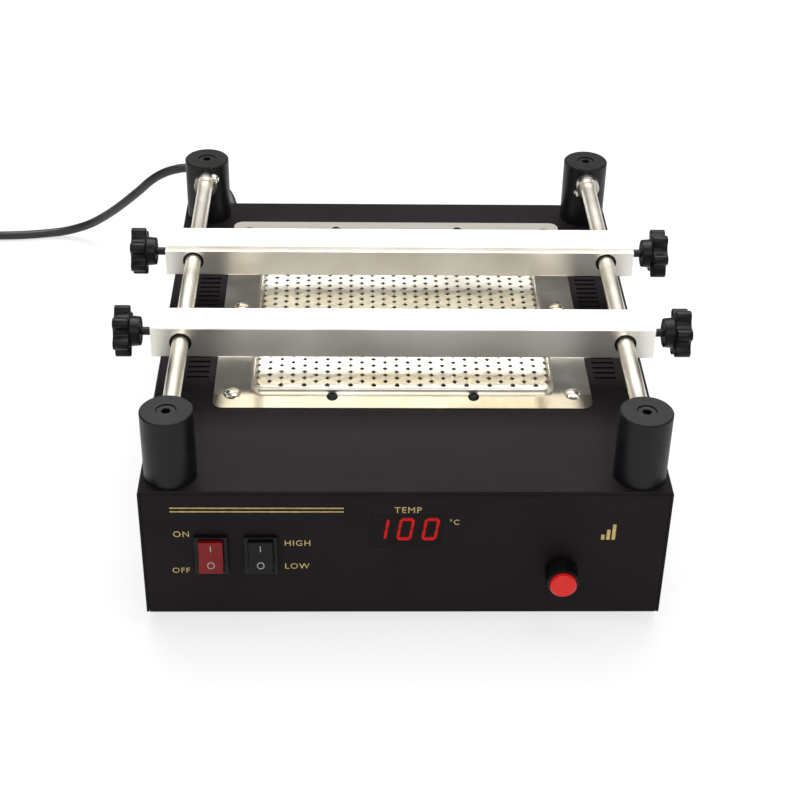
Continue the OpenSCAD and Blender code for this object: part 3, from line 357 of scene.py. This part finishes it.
# Bright rolled stainless: rolling lines along x 1.2 mm apart and a straw tint from the heat
stainless = finish("bright_rolled_stainless", ("#d9d1c0", "#eeebe3"), (0.08, 0.15), 45, 1.0,
                   marks=(60, 1.2, 1.2), depth=0.012)
# Expanded stainless: stretched, so matt, with the same straw tint
expanded = finish("expanded_stainless", ("#e0dacb", "#efece3"), (0.33, 0.39), 30, 1.0,
                  marks=(1.5, 1.5, 1.5), depth=0.03)
# Brushed aluminium: lines along the bar 0.8 mm apart, which draw each reflection out across the bar
milled = finish("brushed_aluminium", ("#ebe7dd", "#f9f6ef"), (0.33, 0.39), 35, 1.0,
                marks=(70, 0.8, 0.8), depth=0.02, brushed=(0, 1, 1), Anisotropic=0.65)
# Black anodised aluminium: dark metal with a soft sheen
anodised = finish("black_anodised_aluminium", ("#18181b", "#232327"), (0.36, 0.48), 8, 0.8)
# Pressed steel can: bare, half bright
pressed_can = finish("pressed_steel_can", ("#97989a", "#b5b6b8"), (0.3, 0.42), 5, 1.0)
# Plain brass of the plug's pins: yellow, wiped bright
brass = finish("plain_brass", ("#b3934e", "#d0b36c"), (0.22, 0.34), 4, 1.0)
print(len(bpy.data.materials), "materials so far")

# %% [markdown]
# The posts are turned from nylon rod, and the knobs, rockers and housings are moulded. One black for all of
# them would be quicker, but each plastic has its own sheen, and that is what tells black pieces apart
# against each other. The display's window is the one clear piece, so it transmits light.

# %% Plastics and rubber
# Turned nylon: rings from the lathe, drawn 0.8 mm apart so that they show, soft blue-black
nylon = finish("turned_black_nylon", ("#08080c", "#0e0e13"), (0.36, 0.5), 18,
               marks=(25, 25, 0.8), depth=0.05, Specular_IOR_Level=0.24)
# Natural nylon: milky, half matt
natural_nylon = finish("natural_nylon", ("#d6d1c3", "#e2ded2"), (0.45, 0.55), 8)
# Moulded ABS: spark-eroded skin, drawn 0.5 mm across so that it shows
abs_black = finish("moulded_black_abs", ("#08080a", "#0e0e11"), (0.3, 0.44), 8,
                   marks=(0.5, 0.5, 0.5), depth=0.02, Specular_IOR_Level=0.2)
# Bright red ABS of the knob's cap: one moulded colour with a fine skin
abs_red = finish("moulded_red_abs", ("#c5150e", "#d11b12"), (0.3, 0.4), 9,
                 marks=(0.4, 0.4, 0.4), depth=0.005, Specular_IOR_Level=0.3)
# Red polycarbonate of the rocker: deep red and glossy
red_clear = finish("red_polycarbonate", ("#680407", "#760709"), (0.22, 0.32), 9, Specular_IOR_Level=0.25)
# Smoked red acrylic: clear and polished, so that the digits shine through
acrylic = finish("smoked_red_acrylic", ("#40090b", "#480b0d"), (0.03, 0.06), 12,
                 Transmission_Weight=0.97, IOR=1.22)
# Display face: flat black, so that only the lit segments show
display_black = finish("display_face", ("#0a0809", "#0e0b0c"), (0.45, 0.55), 5)
# Soft PVC and rubber: black with a soft highlight along the lead
rubber = finish("black_pvc", ("#141315", "#1f1e20"), (0.34, 0.46), 12, marks=(1.2, 1.2, 1.2), depth=0.02)
print(len(bpy.data.materials), "materials so far")

# %% [markdown]
# The pieces inside the box are hardly seen, and then only through the guard. They could share one grey,
# but a glazed emitter, a fibre board and a green circuit board are told apart at once by their own
# colours, and cost no more.

# %% Ceramic and boards
# Glazed ceramic, dark from heat, with a few paler patches
ceramic = finish("dark_glazed_ceramic", ("#221f1c", "#3a3530"), (0.2, 0.4), 15)
# Pressed mineral fibre: matt, speckled
fibre = finish("pressed_fibre_board", ("#beb49f", "#d9d1c0"), (0.85, 0.95), 2, marks=(1, 1, 1), depth=0.2)
# Solder mask on glass-epoxy: glossy green, a little cloudy
laminate = finish("green_solder_mask", ("#164a29", "#206a3b"), (0.28, 0.4), 3)
# Varnished laminations and tape: amber brown, half matt
varnish = finish("varnished_laminations", ("#4a3720", "#6d5430"), (0.4, 0.6), 3)
print(len(bpy.data.materials), "materials")

# %% [markdown]
# The CAD nodes keep their meshes and places and only get a material. Each could be set in a line of its
# own, but one table of finishes and node names shows at a glance which pieces share a finish, as a parts
# list would.

# %% Give each CAD node its finish
FINISH = {
    powder: ["chassis", "cover"],
    nylon: ["post_front_left", "post_front_right", "post_rear_left", "post_rear_right"],
    chrome: ["rod_collars", "collar_screws"],
    ground: ["guide_rod_left", "guide_rod_right"],
    zinc: ["foot_screws", "post_nuts", "thermocouple", "board_standoffs", "temp_shaft"],
    oxide: ["cover_screws", "post_screws", "plate_screws",
            "stud_front_left", "stud_front_right", "stud_rear_left", "stud_rear_right"],
    stainless: ["top_plate", "plate_rivets", "reflector_tray", "emitter_bracket", "emitter_clips"],
    expanded: ["mesh_guard"],
    milled: ["front_bar", "rear_bar"],
    ceramic: ["emitter_left", "emitter_right"],
    fibre: ["insulation_board"],
    laminate: ["control_board", "display_board"],
    varnish: ["power_transformer"],
    anodised: ["heat_sink"],
    natural_nylon: ["terminal_block"],
    acrylic: ["display_window"],
    display_black: ["display_module"],
    abs_black: ["power_switch_body", "level_switch_body", "level_rocker", "temp_knob",
                "front_bar_liners", "rear_bar_liners",
                "knob_front_left", "knob_front_right", "knob_rear_left", "knob_rear_right"],
    red_clear: ["power_rocker"],
    abs_red: ["temp_knob_cap"],
    pressed_can: ["temp_control"],
    rubber: ["rubber_feet", "cord_gland", "mains_plug"],
    brass: ["plug_pins"],
}
for mat, names in FINISH.items():
    for name in names:
        nodes[name].data.materials.clear()
        nodes[name].data.materials.append(mat)
lead.data.materials.append(rubber)
strap.data.materials.append(rubber)
print("finished", sum(len(names) for names in FINISH.values()), "nodes")

# %% [markdown]
# ## Expanded-metal guard
# Expanded metal is a sheet that is slit and stretched: every strand twists, so that each opening has a low
# far edge and a high near edge. That twist is what makes the mesh glitter and hides most of each hole
# from the front. Holes cut in a flat sheet would be simpler but would miss it, so one rhombus with an
# inset hole is twisted, and doubled to make the stagger.

# %% Stretch one mesh
PITCH_L, PITCH_S, STRAND, TWIST = 11.2, 5.4, 0.78, 0.42
OPEN_X, OPEN_Y = 1.35, 2.05
CORNER_SHARE, SAME = 0.49, 1e-6
bpy.ops.object.select_all(action="DESELECT")
bpy.ops.mesh.primitive_circle_add(vertices=4, radius=1, fill_type="NGON", location=(0, 0, 0))
guard = bpy.context.object
guard.name = "expanded_guard"
guard.scale = Vector((PITCH_L / 2, PITCH_S / 2, 1)) * MM
seat(guard)
bpy.ops.object.mode_set(mode="EDIT")
bpy.ops.mesh.select_all(action="SELECT")
bpy.ops.mesh.inset(thickness=STRAND * MM)
bpy.ops.mesh.delete(type="FACE")
bpy.ops.object.mode_set(mode="OBJECT")
for v in guard.data.vertices:
    if abs(v.co.x) > PITCH_L * CORNER_SHARE * MM or abs(v.co.y) > PITCH_S * CORNER_SHARE * MM:
        continue
    if abs(v.co.x) < SAME:
        v.co = Vector((0, math.copysign(OPEN_Y, v.co.y), -math.copysign(TWIST, v.co.y))) * MM
    else:
        v.co = Vector((math.copysign(OPEN_X, v.co.x), 0, 0)) * MM
bpy.ops.object.mode_set(mode="EDIT")
bpy.ops.mesh.select_all(action="SELECT")
bpy.ops.mesh.duplicate()
bpy.ops.transform.translate(value=(PITCH_L / 2 * MM, PITCH_S / 2 * MM, 0))
bpy.ops.object.mode_set(mode="OBJECT")
print("two openings from", len(guard.data.polygons), "strands")

# %% [markdown]
# The real sheet runs through the press row by row. Here two Array modifiers lay the pair of openings in
# columns and rows, as many as the CAD guard's size asks for; copies made one by one would need a loop
# and a count of their own. The outer edges of neighbours are merged, which closes the sheet, and
# Solidify gives it its thickness.

# %% Repeat it over the sheet
SHEET_T, MERGE = 0.6, 1e-5
low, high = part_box("mesh_guard")
guard_foot = Vector(((low.x + high.x) / 2, (low.y + high.y) / 2, low.z))
guard_w, guard_d = (high.x - low.x) / MM, (high.y - low.y) / MM
across, along = math.ceil(guard_w / PITCH_L) + 1, math.ceil(guard_d / PITCH_S) + 1
for name, count, step in (("columns", across, (PITCH_L, 0, 0)), ("rows", along, (0, PITCH_S, 0))):
    repeat = guard.modifiers.new(name, "ARRAY")
    repeat.count = count
    repeat.use_relative_offset = False
    repeat.use_constant_offset = True
    repeat.constant_offset_displace = Vector(step) * MM
    bpy.ops.object.modifier_apply(modifier=name)
bpy.ops.object.mode_set(mode="EDIT")
bpy.ops.mesh.select_all(action="SELECT")
bpy.ops.mesh.remove_doubles(threshold=MERGE)
bpy.ops.mesh.normals_make_consistent(inside=False)
bpy.ops.object.mode_set(mode="OBJECT")
skin = guard.modifiers.new("skin", "SOLIDIFY")
skin.thickness = SHEET_T * MM
skin.offset = 0
bpy.ops.object.modifier_apply(modifier="skin")
guard.location = (-(across - 0.5) * PITCH_L / 2 * MM, -(along - 0.5) * PITCH_S / 2 * MM, 0)
seat(guard)
print("mesh of", across * along * 2, "openings,", len(guard.data.polygons), "faces")

# %% [markdown]
# The sheet is cut to the guard's outline, a rectangle with round corners. Deleting whole openings would
# leave a ragged edge, so a Boolean with a block of that outline cuts through the strands, as shears do.

# %% Trim it to its outline
CORNER_R, TRIM_IN, TRIM_T = 6.0, 0.4, 10


def outline_plate(name, grow):
    bpy.ops.object.select_all(action="DESELECT")
    bpy.ops.mesh.primitive_plane_add(size=1, location=(0, 0, 0))
    plate = bpy.context.object
    plate.name = name
    plate.scale = Vector((guard_w + 2 * grow, guard_d + 2 * grow, 1)) * MM
    seat(plate)
    bpy.ops.object.mode_set(mode="EDIT")
    bpy.ops.mesh.select_all(action="SELECT")
    bpy.ops.mesh.bevel(offset=CORNER_R * MM, segments=8, affect="VERTICES")
    bpy.ops.object.mode_set(mode="OBJECT")
    return plate


trimmer = outline_plate("trimmer", -TRIM_IN)
thick = trimmer.modifiers.new("thick", "SOLIDIFY")
thick.thickness = TRIM_T * MM
thick.offset = 0
bpy.ops.object.modifier_apply(modifier="thick")
only(guard)
trim = guard.modifiers.new("trim", "BOOLEAN")
trim.operation = "INTERSECT"
trim.object = trimmer
bpy.ops.object.modifier_apply(modifier="trim")
bpy.data.objects.remove(trimmer)
print("trimmed to", len(guard.data.polygons), "faces")

# %% [markdown]
# The trimmed sheet is pressed over a form: the middle crowns, and the last few millimetres lie calm and
# roll down to the rim. A lattice could bend it by eye, but moving each point by its distance from the
# edge gives the crown and the roll in exact millimetres.

# %% Press it over its form
ROLL_R, ROLL_SHARE, TOP_DROP = 3.2, 0.75, 1.2
CALM_FROM, CALM_OVER, CALM_LEAST = 2.0, 1.5, 0.2
CROWN, TOP, STRAND_FOLD = 0.9, (high.z - low.z) / MM, 12


def edge_distance(x, y):
    qx, qy = abs(x) - guard_w / 2 + CORNER_R, abs(y) - guard_d / 2 + CORNER_R
    outside = math.hypot(max(qx, 0), max(qy, 0)) + min(max(qx, qy), 0)
    return CORNER_R - outside


for v in guard.data.vertices:
    x, y = v.co.x / MM, v.co.y / MM
    inward = edge_distance(x, y)
    near = max(0.0, ROLL_R - max(0.0, inward))
    calm = min(1.0, max(CALM_LEAST, (inward - CALM_FROM) / CALM_OVER))
    roll = ROLL_R - math.sqrt(max(0.0, ROLL_R ** 2 - near ** 2))
    lift = TOP - TOP_DROP - CROWN * (2 * y / guard_d) ** 2 - ROLL_SHARE * roll
    v.co = guard_foot + Vector((x, y, lift)) * MM + Vector((0, 0, calm * v.co.z))
smooth(guard, STRAND_FOLD)
print("pressed", len(guard.data.vertices), "points to a crown of", CROWN, "mm")

# %% [markdown]
# The border is a strip of the sheet that is folded over the raw edge of the mesh. It is drawn from the same
# outline: its edges are extruded up as a low wall and then inwards in two steps, follow the crown, and
# get a thickness from Solidify. A bevelled frame would be quicker but would lose the open, rolled lip.

# %% Roll the border
RIM_T, RIM_CUTS, RIM_FOLD = 0.5, 9, 40
RIM_STEPS = ((0, 1.7), (0.35, 2.35), (1.3, 2.8))
rim = outline_plate("guard_rim", 0)
bpy.ops.object.mode_set(mode="EDIT")
bpy.ops.mesh.select_all(action="SELECT")
bpy.ops.mesh.delete(type="ONLY_FACE")
bpy.ops.mesh.select_mode(type="EDGE")
bpy.ops.mesh.select_all(action="SELECT")
bpy.ops.mesh.subdivide(number_cuts=RIM_CUTS)
bpy.ops.mesh.select_all(action="SELECT")
inset, rise = 0, 0
for next_inset, next_rise in RIM_STEPS:
    step = (0, 0, (next_rise - rise) * MM)
    bpy.ops.mesh.extrude_region_move(TRANSFORM_OT_translate={"value": step})
    shrink = [(size - 2 * next_inset) / (size - 2 * inset) for size in (guard_w, guard_d)]
    bpy.ops.transform.resize(value=(*shrink, 1))
    inset, rise = next_inset, next_rise
bpy.ops.mesh.select_all(action="SELECT")
bpy.ops.mesh.normals_make_consistent(inside=False)
bpy.ops.object.mode_set(mode="OBJECT")
for v in rim.data.vertices:
    if v.co.z > SAME:
        v.co.z += CROWN * (1 - (2 * v.co.y / MM / guard_d) ** 2) * MM
wall = rim.modifiers.new("wall", "SOLIDIFY")
wall.thickness = RIM_T * MM
wall.offset = -1
bpy.ops.object.modifier_apply(modifier="wall")
rim.location = guard_foot
seat(rim)
smooth(rim, RIM_FOLD)
for piece in (guard, rim):
    piece.data.materials.clear()
    piece.data.materials.append(expanded)
    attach(piece, "base")
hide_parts("mesh_guard")
print("guard", len(guard.data.polygons), "faces, rim", len(rim.data.polygons))

# %% [markdown]
# ## Soft edges
# No real edge is perfectly sharp: a mould has draft and radii, a turned post is deburred and a bent sheet
# has a bend. A Bevel modifier on a CAD node would round the edges of its loose triangles, and the node's
# mesh is left alone. So each moulded piece that shows its edges is copied, the triangles are merged, flat
# faces are joined and the sharp edges get a small bevel, which catches the light as on the real piece. The
# copy then stands for the node.

# %% Copy a node and round its edges
FLAT_TURN, SHARP_TURN, SOFT_FOLD, CRUMB = 0.3, 30, 35, 0.004


def soften(name, width):
    piece = nodes[name].copy()
    piece.data = nodes[name].data.copy()
    piece.name = name + "_soft"
    piece.parent = None
    bpy.context.scene.collection.objects.link(piece)
    only(piece)
    bpy.ops.object.mode_set(mode="EDIT")
    bpy.ops.mesh.select_mode(type="EDGE")
    bpy.ops.mesh.select_all(action="SELECT")
    bpy.ops.mesh.remove_doubles(threshold=SAME)
    bpy.ops.mesh.dissolve_limited(angle_limit=math.radians(FLAT_TURN))
    bpy.ops.mesh.select_all(action="DESELECT")
    bpy.ops.mesh.edges_select_sharp(sharpness=math.radians(SHARP_TURN))
    bpy.ops.mesh.bevel(offset=width * MM, segments=2, affect="EDGES", clamp_overlap=True)
    bpy.ops.mesh.select_all(action="SELECT")
    bpy.ops.mesh.dissolve_degenerate(threshold=CRUMB * MM)
    bpy.ops.object.mode_set(mode="OBJECT")
    smooth(piece, SOFT_FOLD)
    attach(piece, body_of_node[name])
    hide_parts(name)
    return piece


# Width of the bevel in millimetres, and the pieces that get it
SOFT = {
    0.7: ["knob_front_left", "knob_front_right", "knob_rear_left", "knob_rear_right"],
    0.4: ["power_rocker", "level_rocker", "power_switch_body", "level_switch_body"],
    1.5: ["mains_plug"],
}
soft = {name: soften(name, width) for width, names in SOFT.items() for name in names}
print("softened", {name: len(piece.data.polygons) for name, piece in soft.items()})

# %% [markdown]
# With the plug finished, the lead is whole: its length, its thickness, where it leaves the box, and the
# strain relief, strap, plug and pins that it carries are all set by the cells above. This cell adds
# nothing to it.

# %% The lead is whole
print("lead and plug in place")

# %% [markdown]
# ## Print on the panel
# The panel carries screen-printed legends in gold: plain words for the switches and the display. A picture
# could carry them, but ink is a thin layer of its own, so Blender's font is set at the printed height,
# turned into a mesh and laid on the panel's face. That stays sharp from close by.

# %% Screen-print the legends
PRINT_T, CAP_SHARE, LETTER_SPACE = 0.08, 0.72, 1.15
UPRIGHT = Matrix.Rotation(math.radians(90), 4, "X")
panel_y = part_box("chassis")[0].y / MM
box_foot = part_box("chassis")[0].z / MM
# Gold screen ink: flat and slightly worn, with a hint of metal powder
gold = finish("gold_screen_print", ("#a08a52", "#cbb479"), (0.4, 0.55), 3, 0.3)
# Legend name, words, height of its capitals, and its middle on the panel
LEGENDS = [
    ("legend_on", "ON", 3.3, -101.5, 47.5), ("legend_off", "OFF", 3.1, -102.6, 26.3),
    ("legend_high", "HIGH", 3.3, -49.0, 42.3), ("legend_low", "LOW", 3.3, -49.5, 28.8),
    ("legend_temp", "TEMP", 3.4, 0.9, 61.4), ("legend_degrees", "°C", 2.9, 22.0, 54.5),
]


def printed(name, words, height, spot, ink, body):
    bpy.ops.object.select_all(action="DESELECT")
    bpy.ops.object.text_add(location=(0, 0, 0))
    text = bpy.context.object
    text.name = name
    text.data.body = words
    text.data.align_x, text.data.align_y = "CENTER", "CENTER"
    text.data.size = height / CAP_SHARE * MM
    text.data.extrude = PRINT_T / 2 * MM
    text.data.space_character = LETTER_SPACE
    bpy.ops.object.convert(target="MESH")
    text = bpy.context.object
    text.data.transform(spot @ UPRIGHT)
    text.data.materials.clear()
    text.data.materials.append(ink)
    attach(text, body)


def on_panel(x, z):
    return Matrix.Translation(Vector((x, panel_y - PRINT_T / 2, box_foot + z)) * MM)


for name, words, height, x, z in LEGENDS:
    printed(name, words, height, on_panel(x, z), gold, "base")
print(len(LEGENDS), "legends")

# %% [markdown]
# The I and O on the rockers are pad-printed on the two slopes of each rocker. They could be cut into it,
# but such marks are flat ink. Each is turned with its slope about the rocker's pivot, and rides on the
# rocker's body, so that it rocks along.

# %% Print the rocker marks
SWITCH_Z, TILT, PIVOT, FACE_OUT = 36.5, 10, 2.0, 4.1
MARK_OFF, MARK_H = 4.3, 3.4
# White pad ink: thin, so a little grey
white_ink = finish("white_pad_print", ("#86837e", "#9d9a95"), (0.45, 0.6), 2)
rock = Matrix.Rotation(math.radians(-TILT), 4, "X")
out = FACE_OUT + MARK_OFF * math.tan(math.radians(TILT)) + PIVOT + PRINT_T / 2
for name, x, body in (("power", -88.3, "power_rocker"), ("level", -65.7, "level_rocker")):
    hub = Matrix.Translation(Vector((x, panel_y + PIVOT, box_foot + SWITCH_Z)) * MM)
    for mark, side in (("I", 1), ("O", -1)):
        face = Matrix.Translation(Vector((0, -out, side * MARK_OFF)) * MM)
        slope = Matrix.Rotation(math.radians(side * TILT), 4, "X")
        spot = hub @ rock @ face @ slope
        printed("mark_%s_%s" % (name, mark), mark, MARK_H, spot, white_ink, body)
print("marks %.2f mm from the pivot" % out)

# %% [markdown]
# A pair of thin gold lines fills the upper left of the panel, and three rising bars mark the temperature
# knob's side. They could be set as text too, but a flat box with its four corners bevelled gives the
# slightly round ends of screen ink, at a size that is plain to read.

# %% Print lines and bars
PRINT_CLIP = 0.2
LINE_LONG, LINE_HIGH, LINE_X, LINE_ROWS = 78, 0.7, -67, (62.6, 60.6)
BAR_WIDE, BAR_FIRST, BAR_GROW = 1.7, 3.0, 2.9
BARS, BARS_X, BARS_STEP, BARS_FOOT = 3, 89.9, 2.45, 44.6


def clipped_bar(name, size, clip, steps, spot, ink):
    bpy.ops.object.select_all(action="DESELECT")
    bpy.ops.mesh.primitive_cube_add(size=1, location=(0, 0, 0))
    bar = bpy.context.object
    bar.name = name
    bar.scale = Vector(size) * MM
    seat(bar)
    for edge in bar.data.edges:
        a, b = (bar.data.vertices[v].co for v in edge.vertices)
        edge.select = abs(a.x - b.x) < SAME and abs(a.z - b.z) < SAME
    bpy.ops.object.mode_set(mode="EDIT")
    bpy.ops.mesh.select_mode(type="EDGE")
    bpy.ops.mesh.bevel(offset=clip * MM, segments=steps, affect="EDGES")
    bpy.ops.object.mode_set(mode="OBJECT")
    bar.data.transform(spot)
    bar.data.materials.append(ink)
    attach(bar, "base")


for i, z in enumerate(LINE_ROWS):
    size = (LINE_LONG, PRINT_T, LINE_HIGH)
    clipped_bar("panel_line_%d" % i, size, PRINT_CLIP, 2, on_panel(LINE_X, z), gold)
for i in range(BARS):
    tall = BAR_FIRST + BAR_GROW * i
    spot = on_panel(BARS_X + BARS_STEP * i, BARS_FOOT + tall / 2)
    clipped_bar("level_bar_%d" % i, (BAR_WIDE, PRINT_T, tall), PRINT_CLIP, 2, spot, gold)
print(len(LINE_ROWS), "lines and", BARS, "bars")

# %% [markdown]
# ## Digits
# Behind the smoked window glow three seven-segment digits. A font would give round letters, so each lit
# segment is a flat six-sided bar: the same clipped bar with a bevel nearly as deep as half its width.
# It is set at its place in the digit, and the whole digit leans to the right as such displays do.

# %% Light the digits
DIGIT_H, DIGIT_W, DIGIT_STEP, LEAN = 11.2, 5.6, 11.4, 0.14
SEGMENT_W, SEGMENT_T, SEGMENT_GAP, POINT_SHARE = 1.2, 0.1, 0.4, 0.48
DIGIT_Z, DISPLAY_Y = 50.0, 1.0
# Lit segment: bright red that glows by itself, strong enough to show through the window
lit = finish("lit_red_segment", ("#e0200f", "#ff2a12"), (0.4, 0.5), 3,
             Emission_Color=linear("#ff2010"), Emission_Strength=1.5)
half_h, half_w = DIGIT_H / 2, DIGIT_W / 2
# Middle of each segment in its digit, and its turn in degrees
SEGMENTS = {
    "a": (0, half_h, 0), "g": (0, 0, 0), "d": (0, -half_h, 0),
    "f": (-half_w, half_h / 2, 90), "b": (half_w, half_h / 2, 90),
    "e": (-half_w, -half_h / 2, 90), "c": (half_w, -half_h / 2, 90),
}
SHOWN = {"1": "bc", "0": "abcdef"}
slant = Matrix.Identity(4)
slant[0][2] = LEAN


def segment(name, digit_x, x, z, turned):
    long = (half_h if turned else DIGIT_W) - SEGMENT_GAP
    home = Matrix.Translation(Vector((digit_x, panel_y + DISPLAY_Y, box_foot + DIGIT_Z)) * MM)
    place = Matrix.Translation(Vector((x, 0, z)) * MM)
    spot = home @ slant @ place @ Matrix.Rotation(math.radians(turned), 4, "Y")
    clipped_bar(name, (long, SEGMENT_T, SEGMENT_W), SEGMENT_W * POINT_SHARE, 1, spot, lit)


count = 0
for i, digit in enumerate("100"):
    for key in SHOWN[digit]:
        segment("segment_%d_%s" % (i, key), (i - 1) * DIGIT_STEP, *SEGMENTS[key])
        count += 1
print(count, "lit segments")
